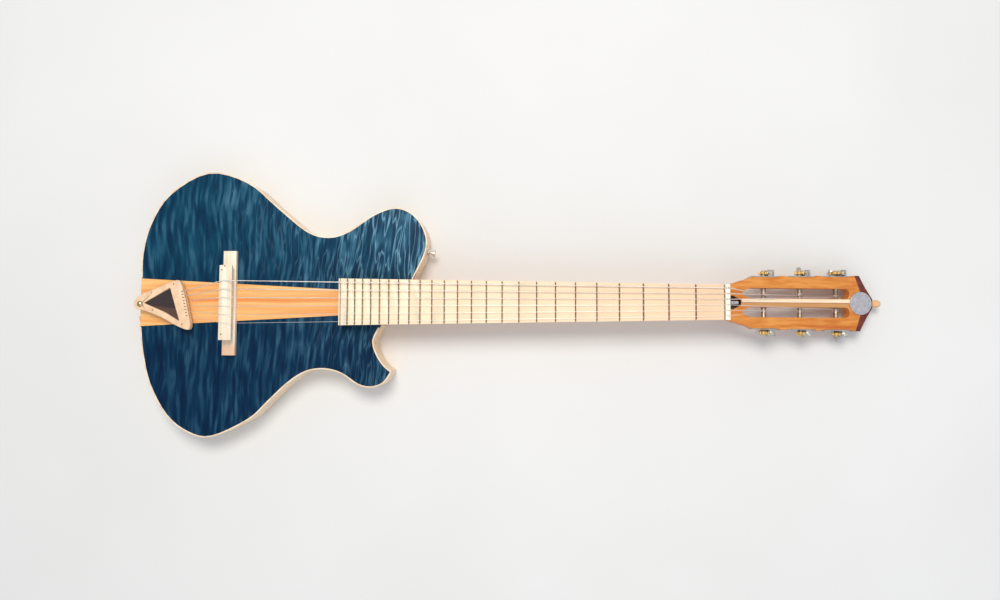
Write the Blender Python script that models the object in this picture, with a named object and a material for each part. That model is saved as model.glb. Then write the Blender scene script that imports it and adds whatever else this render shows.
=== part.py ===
"""Six-string guitar with a through neck, floating bridge and slotted headstock.

World frame: +X runs from the tail to the headstock, +Y to the bass side and
+Z out of the top. The guitar lies on its back, and the origin is on the back,
under the line where the open strings' length begins.
"""
import math

import bmesh
import bpy
from mathutils import Matrix, Vector

MM = 0.001

# Strings and their length
SCALE_LENGTH = 648 * MM
STRING_DIAMETERS = [0.45 * MM, 0.5 * MM, 0.6 * MM, 0.8 * MM, 1.0 * MM, 1.25 * MM]
BRIDGE_SPACING = 11.2 * MM
NUT_SPACING = 7.15 * MM
TAIL_SPACING = 6.4 * MM
WINDING_TURNS = 2.6
WINDING_GAP = 0.58 * MM
WINDING_STEPS = 14

# Fits: every piece keeps this gap to the one that carries it
GAP = 0.3 * MM

# Body
BODY_DEPTH = 41 * MM
TOP_THICKNESS = 5 * MM
TOP_EDGE_RADIUS = 1.2 * MM
BACK_EDGE_RADIUS = 6 * MM
STRIPE_HALF_AT_BRIDGE = 25.2 * MM
STRIPE_TAPER = 0.055
TAIL_X = -122.5 * MM
SPAN_STEPS = 4

# Outline of each wing's outer edge, from the tail to the neck
BASS_EDGE = [
    (-122.0, 66), (-112, 106), (-86, 146.5), (-34, 175.2), (20, 162), (61, 128.6),
    (102, 95.5), (131.7, 87.8), (158.6, 96), (190, 117), (219, 126.8), (244, 117.6),
    (260, 94), (261, 68), (243.4, 30.5),
]
JACK_POINT = (-84, -150.5)
TREBLE_EDGE = [
    (-119, -66), (-108, -109), JACK_POINT, (-54, -173), (-22, -178.2), (27, -155.5),
    (53, -131.5), (79, -107), (103, -92), (127, -88.6), (150, -94.5), (172, -108.8),
    (190, -112.3), (206, -106.5), (216, -93),
]
CUTAWAY_EDGE = [(216, -90.5), (206, -82), (196.5, -67), (192.5, -50), (202, -30)]

# Neck and fingerboard
FINGERBOARD_RISE = 19 * MM
FINGERBOARD_THICKNESS = 6 * MM
FINGERBOARD_OVERHANG = 12.2 * MM
NUT_HALF_WIDTH = 22.45 * MM
FINGERBOARD_FLARE = 0.01615
NECK_SIDE_INSET = 1.2 * MM
FRET_COUNT = 24
FRET_WIDTH = 2.2 * MM
FRET_HEIGHT = 0.9 * MM
FRET_END_INSET = 0.8 * MM
HEEL_END_X = 205 * MM
HEEL_CURVE_LENGTH = 85 * MM
NECK_DEPTH_AT_HEEL = 20.5 * MM
NECK_DEPTH_AT_NUT = 15.5 * MM
NUT_THICKNESS = 6.7 * MM
NUT_ACTION = 1.5 * MM
NUT_WALL = 1.1 * MM
TRUSS_WIDTH = 6 * MM
TRUSS_DEPTH = 8 * MM
TRUSS_START_X = 275 * MM

# Headstock: s runs from the back of the nut to the tip
HEAD_ANGLE = math.radians(8.5)
HEAD_THICKNESS = 14 * MM
HEAD_DROP = 0.6 * MM
HEAD_NOSE = [(5, 24.6), (9, 25.5), (14, 27), (18, 28.6), (25, 29.9)]
FLAT_HALVES = [33.2 * MM, 33.8 * MM, 34.4 * MM]
HUMP_RISE = 1.9 * MM
HUMP_SLOPE = 1.5 * MM
HUMP_LENGTH = 6 * MM
HEAD_CORNER_S = 172 * MM
HEAD_APEX_S = 184.5 * MM
SLOT_INNER_Y = 5.6 * MM
SLOT_WIDTH = 13.3 * MM
SLOT_START_S = 18 * MM
SLOT_POINT_LENGTH = 15 * MM
SLOT_END_S = 164 * MM
SLOT_CORNER = 5.5 * MM
SPLINE_WIDTH = 4.7 * MM
SPLINE_HEIGHT = 2 * MM
TIP_OUTLINE = [(178, 36.4), (186.5, 20.5), (196, 5.6)]
DISC_RADIUS = 15 * MM
DISC_THICKNESS = 1.2 * MM
DISC_S = 179 * MM
PEG_RADIUS = 5.2 * MM
PEG_LENGTH = 14 * MM
CAVITY_LENGTH = 16.5 * MM
CAVITY_HALF = 8.6 * MM
CAVITY_TIP_HALF = 3.4 * MM
CAVITY_DEPTH = 7 * MM
TRUSS_NUT_RADIUS = 3.1 * MM
TRUSS_NUT_LENGTH = 10.5 * MM

# Tuning machines
ROLLER_S = [50 * MM, 99.4 * MM, 149 * MM]
ROLLER_DEPTH = 7.5 * MM
ROLLER_RADIUS = 3.175 * MM
ROLLER_CLEARANCE = 0.35 * MM
ROLLER_SEAT = 3 * MM
GEAR_TEETH = 14
GEAR_PITCH_RADIUS = 5.6 * MM
GEAR_TOOTH_HEIGHT = 1.25 * MM
GEAR_WIDTH = 3.2 * MM
GEAR_STANDOFF = 2.7 * MM
TOOTH_WIDTH = 0.75 * MM
WORM_PITCH_RADIUS = 3 * MM
WORM_LENGTH = 8.6 * MM
WORM_SHAFT_RADIUS = 1.6 * MM
WORM_THREAD_HEIGHT = 1.3 * MM
PLATE_THICKNESS = 1.2 * MM
PLATE_WIDTH = 12.4 * MM
PLATE_FRONT = 18 * MM
PLATE_REAR = 16.5 * MM
LUG_THICKNESS = 1.5 * MM
LUG_HALF = 3.8 * MM
HOLE_CLEARANCE = 0.35 * MM
KNOB_REACH = 29.4 * MM
KNOB_HEIGHT = 10 * MM
KNOB_HALF_WIDTH = 9.4 * MM
KNOB_THICKNESS = 3 * MM
KNOB_ANGLES = [155, 115, 110, 150, 95, 35]
KNOB_STEM_RADIUS = 2.1 * MM
KNOB_SHOULDER_RADIUS = 2.6 * MM
PLATE_SCREW_RADIUS = 1.9 * MM
PLATE_SCREW_HEIGHT = 1.2 * MM
PLATE_SCREW_INSET = 2.7 * MM
GEAR_SCREW_RADIUS = 2.6 * MM
GEAR_SCREW_HEIGHT = 1.5 * MM
WINDING_START_Y = 9.6 * MM
INNER_WINDING_START_Y = 8.2 * MM

# Bridge
BRIDGE_HALF_LENGTH = 69.4 * MM
BRIDGE_Y = -1.2 * MM
BRIDGE_WIDTH = 17.5 * MM
BRIDGE_THICKNESS = 6.2 * MM
RISER_HALF_LENGTH = 45 * MM
RISER_WIDTH = 12 * MM
RISER_HEIGHT = 5 * MM
SADDLE_HALF_LENGTH = 49 * MM
SADDLE_WIDTH = 15.5 * MM
SADDLE_WALL = 6.5 * MM
SADDLE_CREST_RISE = 24 * MM
SADDLE_CREST_X = -1 * MM
POST_RADIUS = 2 * MM
WHEEL_RADIUS = 5.2 * MM
WHEEL_THICKNESS = 2.4 * MM
POST_Y = 38 * MM
POST_DEPTH = 4 * MM

# Tailpiece
TAILPIECE_OUTLINE = [
    (-125, -2), (-117.5, 8.6), (-97, 17.2), (-77, 25.8), (-65, 28.6), (-60, 18), (-54.8, 0),
    (-50.6, -19), (-48.4, -31.5), (-52.5, -37), (-68, -31.2), (-87, -21), (-110, -12), (-121, -9.6),
]
TAILPIECE_WINDOW = [(-111.5, -1.5), (-76.5, 18.5), (-63.3, -25.3), (-82.5, -14)]
TAILPIECE_THICKNESS = 8 * MM
TAILPIECE_LIFT = 6 * MM
PANEL_THICKNESS = 2 * MM
PANEL_RECESS = 1 * MM
TAIL_SCREW = (-116.4, -2.9)
TAIL_SCREW_RADIUS = 4 * MM
TAIL_SHANK_RADIUS = 1.8 * MM
TAIL_FOOT_RADIUS = 6.6 * MM
TAIL_EDGE_X = -57.3 * MM
TAIL_EDGE_SLOPE = -0.223
STRING_HOLE_DEPTH = 6 * MM
STRING_HOLE_RADIUS = 1.15 * MM

# Strap buttons and the output jack on the rim
RIM_Z = 20 * MM
HORN_BUTTON_Y = 69 * MM
TAIL_BUTTON_Y = -20.7 * MM
BUTTON_RADIUS = 4.6 * MM
BUTTON_LENGTH = 10 * MM
JACK_PLUG_RADIUS = 3.25 * MM
JACK_SLEEVE_RADIUS = 4.75 * MM
JACK_SLEEVE_LENGTH = 24 * MM
JACK_END_WALL = 2 * MM
JACK_NUT_RADIUS = 6.6 * MM
JACK_NUT_THICKNESS = 2.2 * MM
JACK_STANDOUT = 3.4 * MM

# Places worked out from the sizes above
FINGERBOARD_Z = BODY_DEPTH + FINGERBOARD_RISE
BOARD_UNDERSIDE = FINGERBOARD_Z - FINGERBOARD_THICKNESS
FINGERBOARD_END_X = SCALE_LENGTH * 2 ** (-FRET_COUNT / 12) - FINGERBOARD_OVERHANG
NUT_BACK_X = SCALE_LENGTH + NUT_THICKNESS - 2 * GAP
NECK_TOP = BOARD_UNDERSIDE - GAP
HEAD_TOP = BOARD_UNDERSIDE - HEAD_DROP
HEAD_START_S = -NUT_THICKNESS / 2 - GAP
CREST_Z = BODY_DEPTH + SADDLE_CREST_RISE
WORM_DISTANCE = GEAR_PITCH_RADIUS + WORM_PITCH_RADIUS
THREAD_PITCH = 2 * math.pi * GEAR_PITCH_RADIUS / GEAR_TEETH
HEAD_HALF_MAX = FLAT_HALVES[-1] + HUMP_RISE


def remove_startup_objects():
    for item in list(bpy.data.objects):
        bpy.data.objects.remove(item, do_unlink=True)


def make_material(name, colour, roughness, metallic=0.0):
    material = bpy.data.materials.new(name)
    material.use_nodes = True
    shader = material.node_tree.nodes["Principled BSDF"]
    shader.inputs["Base Color"].default_value = (*colour, 1)
    shader.inputs["Roughness"].default_value = roughness
    shader.inputs["Metallic"].default_value = metallic
    return material


def add_object(name, bm, material, smooth_angle=35):
    bmesh.ops.recalc_face_normals(bm, faces=bm.faces)
    mesh = bpy.data.meshes.new(name)
    bm.to_mesh(mesh)
    bm.free()
    mesh.shade_smooth()
    mesh.set_sharp_from_angle(angle=math.radians(smooth_angle))
    item = bpy.data.objects.new(name, mesh)
    bpy.context.collection.objects.link(item)
    if material:
        mesh.materials.append(material)
    return item


def combine(item, bm, operation):
    """Cut the mesh out of the object, or join it on, and keep one object."""
    other = add_object("tool", bm, None)
    modifier = item.modifiers.new(operation, "BOOLEAN")
    modifier.operation = operation
    modifier.solver = "EXACT"
    modifier.object = other
    bpy.context.view_layer.update()
    graph = bpy.context.evaluated_depsgraph_get()
    mesh = bpy.data.meshes.new_from_object(item.evaluated_get(graph))
    item.modifiers.clear()
    old = item.data
    item.data = mesh
    bpy.data.meshes.remove(old)
    bpy.data.objects.remove(other, do_unlink=True)


def millimetres(points):
    return [(x * MM, y * MM) for x, y in points]


def spline_point(a, b, c, d, t):
    """A point between b and c on a curve through a, b, c and d."""
    return tuple(
        q + 0.5 * (r - p) * t + (p - 2.5 * q + 2 * r - 0.5 * s) * t ** 2
        + 0.5 * (3 * q - p - 3 * r + s) * t ** 3
        for p, q, r, s in zip(a, b, c, d)
    )


def open_curve(points, steps=SPAN_STEPS):
    ends = [points[0]] + points + [points[-1]]
    curve = []
    for i in range(len(points) - 1):
        curve += [spline_point(*ends[i:i + 4], k / steps) for k in range(steps)]
    return curve + [points[-1]]


def closed_curve(points, steps=SPAN_STEPS):
    count = len(points)
    curve = []
    for i in range(count):
        near = [points[(i + k - 1) % count] for k in range(4)]
        curve += [spline_point(*near, k / steps) for k in range(steps)]
    return curve


def prism(outline, low, high):
    bm = bmesh.new()
    bottom = [bm.verts.new((x, y, low)) for x, y in outline]
    top = [bm.verts.new((x, y, high)) for x, y in outline]
    bm.faces.new(bottom[::-1])
    bm.faces.new(top)
    for i in range(len(outline)):
        j = (i + 1) % len(outline)
        bm.faces.new((bottom[i], bottom[j], top[j], top[i]))
    return bm


def loft(rings):
    bm = bmesh.new()
    rows = [[bm.verts.new(point) for point in ring] for ring in rings]
    count = len(rows[0])
    for low, high in zip(rows, rows[1:]):
        for i in range(count):
            j = (i + 1) % count
            bm.faces.new((low[i], low[j], high[j], high[i]))
    bm.faces.new(rows[0][::-1])
    bm.faces.new(rows[-1])
    return bm


def box(low, high):
    corners = [(low[0], low[1]), (high[0], low[1]), (high[0], high[1]), (low[0], high[1])]
    return prism(corners, low[2], high[2])


def turned(profile, steps, start=(0, 0, 0), axis=(0, 0, 1)):
    """A solid of revolution: the profile lists (radius, height) along the axis."""
    circle = [(math.cos(2 * math.pi * k / steps), math.sin(2 * math.pi * k / steps)) for k in range(steps)]
    bm = loft([[(r * x, r * y, h) for x, y in circle] for r, h in profile])
    turn = Vector((0, 0, 1)).rotation_difference(Vector(axis)).to_matrix().to_4x4()
    bmesh.ops.transform(bm, matrix=Matrix.Translation(start) @ turn, verts=bm.verts)
    return bm


def dome(radius, height, base, steps=4):
    """Profile of a rounded head that starts at the base height."""
    angles = [math.pi / 2 * k / (steps + 1) for k in range(steps + 1)]
    return [(radius * math.cos(angle), base + height * math.sin(angle)) for angle in angles]


def stripe_half(x):
    return STRIPE_HALF_AT_BRIDGE - STRIPE_TAPER * x


def board_half(x):
    return NUT_HALF_WIDTH + FINGERBOARD_FLARE * (SCALE_LENGTH - x)


def bevel_edges(item, width, segments, chosen):
    """Round the edges that the test picks by their two end points."""
    bm = bmesh.new()
    bm.from_mesh(item.data)
    weights = bm.edges.layers.float.new("bevel_weight_edge")
    for edge in bm.edges:
        edge[weights] = 1.0 if chosen(edge.verts[0].co, edge.verts[1].co) else 0.0
    bm.to_mesh(item.data)
    bm.free()
    bevel = item.modifiers.new("Rounded edge", "BEVEL")
    bevel.width = width
    bevel.segments = segments
    bevel.limit_method = "WEIGHT"


def wing_outline(edge, side):
    """Outer edge from tail to neck, then back along the neck and the stripe."""
    inner = board_half(FINGERBOARD_END_X) - NECK_SIDE_INSET + GAP
    step_x = FINGERBOARD_END_X + GAP
    tail = (TAIL_X, side * (stripe_half(TAIL_X) + GAP))
    outline = [tail] + edge
    outline[-1] = (edge[-1][0], side * inner)
    outline.append((step_x, side * inner))
    outline.append((step_x, side * (stripe_half(step_x) + GAP)))
    return outline


def make_wing(side, name, edge, wood, figured):
    outline = wing_outline(edge, side)
    outer = set((round(x, 6), round(y, 6)) for x, y in outline[:-2])

    def on_edge(a, b, z):
        near = all(abs(p.z - z) < 1e-6 for p in (a, b))
        return near and all((round(p.x, 6), round(p.y, 6)) in outer for p in (a, b))

    core_top = BODY_DEPTH - TOP_THICKNESS - GAP
    core = add_object("body_wing_" + name, prism(outline, 0, core_top), wood)
    bevel_edges(core, BACK_EDGE_RADIUS, 3, lambda a, b: on_edge(a, b, 0))
    top = add_object("top_" + name, prism(outline, BODY_DEPTH - TOP_THICKNESS, BODY_DEPTH), figured)
    bevel_edges(top, TOP_EDGE_RADIUS, 2, lambda a, b: on_edge(a, b, BODY_DEPTH))
    return core


def jack_place():
    """The output jack's seat on the rim, and the way out of the rim there."""
    edge = millimetres(TREBLE_EDGE)
    here = TREBLE_EDGE.index(JACK_POINT)
    along = Vector(edge[here + 1]) - Vector(edge[here - 1])
    outward = Vector((along.y, -along.x, 0)).normalized()
    return Vector((*edge[here], RIM_Z)), outward


def make_body(wood, figured):
    bass = open_curve([(TAIL_X, stripe_half(TAIL_X) + GAP)] + millimetres(BASS_EDGE))[1:]
    treble = open_curve([(TAIL_X, -stripe_half(TAIL_X) - GAP)] + millimetres(TREBLE_EDGE))[1:]
    treble += open_curve(millimetres(CUTAWAY_EDGE))
    make_wing(1, "bass", bass, wood, figured)
    treble_wing = make_wing(-1, "treble", treble, wood, figured)
    hole = JACK_SLEEVE_RADIUS + GAP
    bore = turned([(hole, -JACK_SLEEVE_LENGTH - GAP), (hole, JACK_STANDOUT)], 16, *jack_place())
    combine(treble_wing, bore, "DIFFERENCE")


def neck_ring(x, half, top, depth, squareness, lean=0.0, steps=14):
    """A flat-topped section whose underside runs from D-shaped to square."""
    ring = []
    for k in range(steps + 1):
        angle = math.pi * k / steps
        across = math.copysign(abs(math.cos(angle)) ** (2 / squareness), math.cos(angle))
        down = depth * abs(math.sin(angle)) ** (2 / squareness)
        ring.append((x - lean * down, half * across, top - down))
    return ring


def make_neck(wood):
    def half(x):
        return board_half(x) - NECK_SIDE_INSET

    start = FINGERBOARD_END_X + 2 * GAP
    joint = NUT_BACK_X + HEAD_START_S - GAP
    heel = NECK_DEPTH_AT_HEEL
    slim = NECK_DEPTH_AT_NUT
    sections = [
        (start, NECK_TOP, 14), (HEEL_END_X, NECK_TOP, 14),
        (HEEL_END_X + 0.38 * HEEL_CURVE_LENGTH, 0.3 * heel + 0.7 * NECK_TOP, 6),
        (HEEL_END_X + 0.66 * HEEL_CURVE_LENGTH, 0.7 * heel + 0.3 * NECK_TOP, 3.4),
        (HEEL_END_X + HEEL_CURVE_LENGTH, heel, 2.5),
        (0.5 * (HEEL_END_X + SCALE_LENGTH), 0.5 * (heel + slim), 2.2),
        (SCALE_LENGTH - 2 * HEAD_THICKNESS, slim, 2.2),
    ]
    rings = [neck_ring(x, half(x), NECK_TOP, depth, squareness) for x, depth, squareness in sections]
    rings.append(neck_ring(joint, half(joint), NECK_TOP, HEAD_THICKNESS, 9, math.sin(HEAD_ANGLE)))
    neck = add_object("neck_through", loft(rings), wood)
    overlap = start + 8 * MM
    stripe = [
        (TAIL_X, -stripe_half(TAIL_X)), (overlap, -stripe_half(overlap)),
        (overlap, stripe_half(overlap)), (TAIL_X, stripe_half(TAIL_X)),
    ]
    combine(neck, prism(stripe, 0, BODY_DEPTH), "UNION")
    channel = TRUSS_WIDTH / 2 + GAP
    low = (TRUSS_START_X - GAP, -channel, NECK_TOP - TRUSS_DEPTH - 2 * GAP)
    combine(neck, box(low, (joint + MM, channel, NECK_TOP + MM)), "DIFFERENCE")


def make_truss_rod(steel):
    low = NECK_TOP - TRUSS_DEPTH - GAP
    half = TRUSS_WIDTH / 2
    end = NUT_BACK_X + HEAD_START_S - GAP - 2 * MM
    rod = box((TRUSS_START_X, -half, low), (end, half, low + TRUSS_DEPTH))
    add_object("truss_rod", rod, steel)


def fret_x(number):
    return SCALE_LENGTH * 2 ** (-number / 12)


def make_fingerboard(wood):
    front = SCALE_LENGTH - GAP
    corners = [
        (FINGERBOARD_END_X, -board_half(FINGERBOARD_END_X)), (front, -board_half(front)),
        (front, board_half(front)), (FINGERBOARD_END_X, board_half(FINGERBOARD_END_X)),
    ]
    board = add_object("fingerboard", prism(corners, BOARD_UNDERSIDE, FINGERBOARD_Z), wood)
    frets = bmesh.new()
    for number in range(1, FRET_COUNT + 1):
        x = fret_x(number)
        reach = board_half(x) - FRET_END_INSET
        crown = [(-1, -0.8), (1, -0.8), (1, 0.35), (0.45, 1), (-0.45, 1), (-1, 0.35)]
        ends = []
        for y, shrink in ((-reach, 0.5 * MM), (reach, -0.5 * MM)):
            ring = []
            for across, up in crown:
                height = FINGERBOARD_Z + FRET_HEIGHT * up
                slant = shrink * max(up, 0)
                ring.append(frets.verts.new((x + across * FRET_WIDTH / 2, y + slant, height)))
            ends.append(ring)
        for i in range(len(crown)):
            j = (i + 1) % len(crown)
            frets.faces.new((ends[0][i], ends[0][j], ends[1][j], ends[1][i]))
        frets.faces.new(ends[0][::-1])
        frets.faces.new(ends[1])
    combine(board, frets, "UNION")


def string_y(index, spacing, middle=0.0):
    """Strings are numbered from the thin treble one, so the index rises to the bass."""
    return middle + (index - 2.5) * spacing


def make_nut(bone):
    front = SCALE_LENGTH
    top = FINGERBOARD_Z + NUT_ACTION + NUT_WALL
    half = board_half(SCALE_LENGTH) + GAP
    low = BOARD_UNDERSIDE + GAP
    nut = add_object("nut", box((front, -half, low), (NUT_BACK_X, half, top)), bone)
    slots = bmesh.new()
    for index, diameter in enumerate(STRING_DIAMETERS):
        y = string_y(index, NUT_SPACING)
        reach = diameter / 2 + GAP
        floor = FINGERBOARD_Z + NUT_ACTION - GAP
        slot = box((front - MM, y - reach, floor), (NUT_BACK_X + MM, y + reach, top + MM))
        piece = bpy.data.meshes.new("slot")
        slot.to_mesh(piece)
        slot.free()
        slots.from_mesh(piece)
        bpy.data.meshes.remove(piece)
    combine(nut, slots, "DIFFERENCE")


def head_frame():
    """The headstock's own frame: x along it, z out of its face."""
    frame = bpy.data.objects.new("headstock_axis", None)
    frame.location = (NUT_BACK_X, 0, HEAD_TOP)
    frame.rotation_euler = (0, HEAD_ANGLE, 0)
    bpy.context.collection.objects.link(frame)
    return frame


def head_side():
    """Half outline: a waist at the nut, then a flat for each tuner with a hump behind it."""
    side = millimetres(HEAD_NOSE)
    for s, half in zip(ROLLER_S, FLAT_HALVES):
        end = s + PLATE_REAR + 2 * GAP
        rise = end + HUMP_SLOPE
        side += [(s - PLATE_FRONT - 2 * GAP, half), (end, half), (rise, half + HUMP_RISE)]
        side.append((min(rise + HUMP_LENGTH, HEAD_CORNER_S), half + HUMP_RISE))
    return side


def slot_outline(side):
    """Pointed towards the nut, with round corners at the tip end."""
    middle = SLOT_INNER_Y + SLOT_WIDTH / 2
    half = SLOT_WIDTH / 2
    nose = []
    for k in range(5):
        rise = k / 4
        across = half * math.sin(math.pi / 2 * rise ** 0.75)
        nose.append((SLOT_START_S + SLOT_POINT_LENGTH * rise, across))
    corner = []
    for k in range(4):
        angle = math.pi / 2 * k / 3
        s = SLOT_END_S - SLOT_CORNER * (1 - math.sin(angle))
        corner.append((s, half - SLOT_CORNER * (1 - math.cos(angle))))
    upper = nose + corner
    lower = [(s, -y) for s, y in reversed(upper) if abs(y) > 1e-9]
    return [(s, side * (middle + y)) for s, y in upper + lower]


def make_headstock(frame, wood):
    start_half = board_half(SCALE_LENGTH) - NECK_SIDE_INSET
    side = [(HEAD_START_S, start_half), (0, NUT_HALF_WIDTH + 0.4 * MM)] + head_side()
    outline = side + [(HEAD_APEX_S, 0)] + [(s, -y) for s, y in reversed(side)]
    head = add_object("headstock", prism(outline, -HEAD_THICKNESS, 0), wood)
    for sign in (1, -1):
        combine(head, prism(slot_outline(sign), -HEAD_THICKNESS - MM, MM), "DIFFERENCE")
    hole = ROLLER_RADIUS + ROLLER_CLEARANCE
    inner = SLOT_INNER_Y - ROLLER_SEAT - GAP
    drill = [(hole, inner), (hole, inner + HEAD_HALF_MAX)]
    for s in ROLLER_S:
        for sign in (1, -1):
            combine(head, turned(drill, 16, (s, 0, -ROLLER_DEPTH), (0, sign, 0)), "DIFFERENCE")
    half = [
        (HEAD_START_S - MM, CAVITY_HALF), (CAVITY_LENGTH * 0.35, CAVITY_HALF),
        (CAVITY_LENGTH, CAVITY_TIP_HALF),
    ]
    cavity = [(s, -y) for s, y in half] + half[::-1]
    combine(head, prism(cavity, -CAVITY_DEPTH, MM), "DIFFERENCE")
    head.parent = frame


def make_truss_nut(frame, steel):
    radius = TRUSS_NUT_RADIUS
    end = TRUSS_NUT_LENGTH
    chamfer = 0.2 * radius
    profile = [(radius - chamfer, 0), (radius, chamfer), (radius, end - chamfer), (radius - chamfer, end)]
    item = add_object("truss_nut", turned(profile, 12, (0, 0, 0), (1, 0, 0)), steel)
    item.location = (CAVITY_LENGTH * 0.2, 0, -CAVITY_DEPTH + radius + GAP)
    item.parent = frame


def make_tip(frame, tip_wood, peg_wood, pearl, cream):
    corner = head_side()[-1]
    lean = (HEAD_APEX_S - corner[0]) / corner[1]
    half = [(corner[0] + GAP * math.hypot(1, lean), corner[1])] + millimetres(TIP_OUTLINE)
    apex = (HEAD_APEX_S + GAP * math.hypot(1, lean), 0)
    outline = half + [(s, -y) for s, y in reversed(half)] + [apex]
    tip = add_object("headstock_tip", prism(outline, -HEAD_THICKNESS, 0), tip_wood)
    tip.parent = frame
    peg_start = TIP_OUTLINE[-1][0] * MM + GAP
    shape = [(0.8, 0), (0.7, 0.18), (1, 0.45), (0.97, 0.75), (0.68, 0.94), (0.3, 1)]
    profile = [(PEG_RADIUS * r, PEG_LENGTH * along) for r, along in shape]
    place = (peg_start, 0, -HEAD_THICKNESS / 2)
    peg = add_object("tip_peg", turned(profile, 16, place, (1, 0, 0)), peg_wood)
    peg.parent = frame
    disc = add_object("headstock_disc", turned([(DISC_RADIUS, 0), (DISC_RADIUS, DISC_THICKNESS)], 36), pearl)
    disc.location = (DISC_S, 0, GAP)
    disc.parent = frame
    low = (CAVITY_LENGTH + GAP, GAP, GAP)
    high = (DISC_S - DISC_RADIUS - GAP, GAP + SPLINE_WIDTH, SPLINE_HEIGHT)
    spline = add_object("headstock_spline", box(low, high), cream)
    spline.parent = frame


def worm_mesh():
    """One right-hand thread on its core, as a single closed skin along the z axis."""
    per_turn = 12
    root = WORM_PITCH_RADIUS - WORM_THREAD_HEIGHT / 2
    crest = WORM_PITCH_RADIUS + WORM_THREAD_HEIGHT / 2
    radii = [root, root, crest, crest, root]
    flank = TOOTH_WIDTH / THREAD_PITCH
    offsets = [0, 0.5 - flank, 0.5 - flank / 2, 0.5 + flank / 2, 0.5 + flank]
    per_pitch = len(offsets)
    pitches = int(WORM_LENGTH / THREAD_PITCH) - 1
    rows = pitches * per_pitch + 1
    low = -(pitches + 1) * THREAD_PITCH / 2
    bm = bmesh.new()
    grid = []
    for i in range(rows):
        turn, part = divmod(i, per_pitch)
        row = []
        for j in range(per_turn):
            angle = 2 * math.pi * j / per_turn
            z = low + THREAD_PITCH * (turn + offsets[part] + j / per_turn)
            radius = radii[part]
            row.append(bm.verts.new((radius * math.cos(angle), radius * math.sin(angle), z)))
        grid.append(row)
    closing = []
    for i in range(rows, rows + per_pitch):
        turn, part = divmod(i, per_pitch)
        z = low + THREAD_PITCH * (turn + offsets[part])
        closing.append(bm.verts.new((radii[part], 0, z)))
    grid_start = [row[0] for row in grid] + closing

    def wrapped(i):
        return grid_start[i + per_pitch]

    for i in range(rows - 1):
        for j in range(per_turn):
            if j + 1 < per_turn:
                bm.faces.new((grid[i][j], grid[i][j + 1], grid[i + 1][j + 1], grid[i + 1][j]))
            else:
                bm.faces.new((grid[i][j], wrapped(i), wrapped(i + 1), grid[i + 1][j]))
    bottom = bm.verts.new((0, 0, low - 0.1 * THREAD_PITCH))
    loop = grid[0] + [grid_start[k] for k in range(per_pitch, 0, -1)]
    for k in range(len(loop)):
        bm.faces.new((bottom, loop[(k + 1) % len(loop)], loop[k]))
    last = rows - 1
    top = bm.verts.new((0, 0, low + THREAD_PITCH * (pitches + 1.1)))
    loop = grid[last] + [grid_start[k] for k in range(last + per_pitch, last, -1)]
    for k in range(len(loop)):
        bm.faces.new((top, loop[k], loop[(k + 1) % len(loop)]))
    crest_to_gear = Matrix.Rotation(math.pi * (pitches + 1), 3, "Z")
    bmesh.ops.rotate(bm, cent=(0, 0, 0), matrix=crest_to_gear, verts=bm.verts)
    return bm


def knob_outline():
    """A butterfly grip: two round lobes and a narrow waist."""
    points = []
    for k in range(24):
        angle = 2 * math.pi * k / 24
        lobe = abs(math.cos(angle))
        waist = (0.62 + 0.38 * lobe ** 1.2) * (1 + 0.2 * lobe)
        points.append((KNOB_HALF_WIDTH * math.cos(angle), KNOB_HEIGHT / 2 * waist * math.sin(angle)))
    return points


def make_knob(index, nickel):
    """Worm, shaft and butterfly grip: one piece that turns about its own z axis."""
    end = ROLLER_DEPTH - KNOB_REACH
    grip_top = end + KNOB_HEIGHT
    lug_top = WORM_LENGTH / 2 + GAP + LUG_THICKNESS
    shoulder = KNOB_SHOULDER_RADIUS
    profile = [
        (KNOB_STEM_RADIUS, grip_top - 2 * MM), (KNOB_STEM_RADIUS, grip_top + MM),
        (shoulder, -lug_top - MM), (shoulder, -lug_top - 2 * GAP),
        (WORM_SHAFT_RADIUS, -lug_top - 2 * GAP), (WORM_SHAFT_RADIUS, lug_top + GAP),
        (shoulder, lug_top + GAP), (shoulder, lug_top + MM), (shoulder / 2, lug_top + 2 * MM),
    ]
    item = add_object("tuner_knob_%d" % (index + 1), turned(profile, 14), nickel)
    combine(item, worm_mesh(), "UNION")
    grip = prism(knob_outline(), -KNOB_THICKNESS / 2, KNOB_THICKNESS / 2)
    upright = Matrix.Rotation(math.pi / 2, 4, "X")
    turn = Matrix.Rotation(math.radians(KNOB_ANGLES[index]), 4, "Z")
    place = Matrix.Translation((0, 0, end + KNOB_HEIGHT / 2)) @ turn @ upright
    bmesh.ops.transform(grip, matrix=place, verts=grip.verts)
    combine(item, grip, "UNION")
    return item


def gear_outline():
    root = GEAR_PITCH_RADIUS - GEAR_TOOTH_HEIGHT / 2
    crest = GEAR_PITCH_RADIUS + GEAR_TOOTH_HEIGHT / 2
    half = TOOTH_WIDTH / GEAR_PITCH_RADIUS / 2
    points = []
    for k in range(GEAR_TEETH):
        middle = 2 * math.pi * (k + 0.5) / GEAR_TEETH
        for radius, offset in ((root, -1.7), (crest, -0.75), (crest, 0.75), (root, 1.7)):
            angle = middle + offset * half
            points.append((radius * math.cos(angle), radius * math.sin(angle)))
    return points


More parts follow.
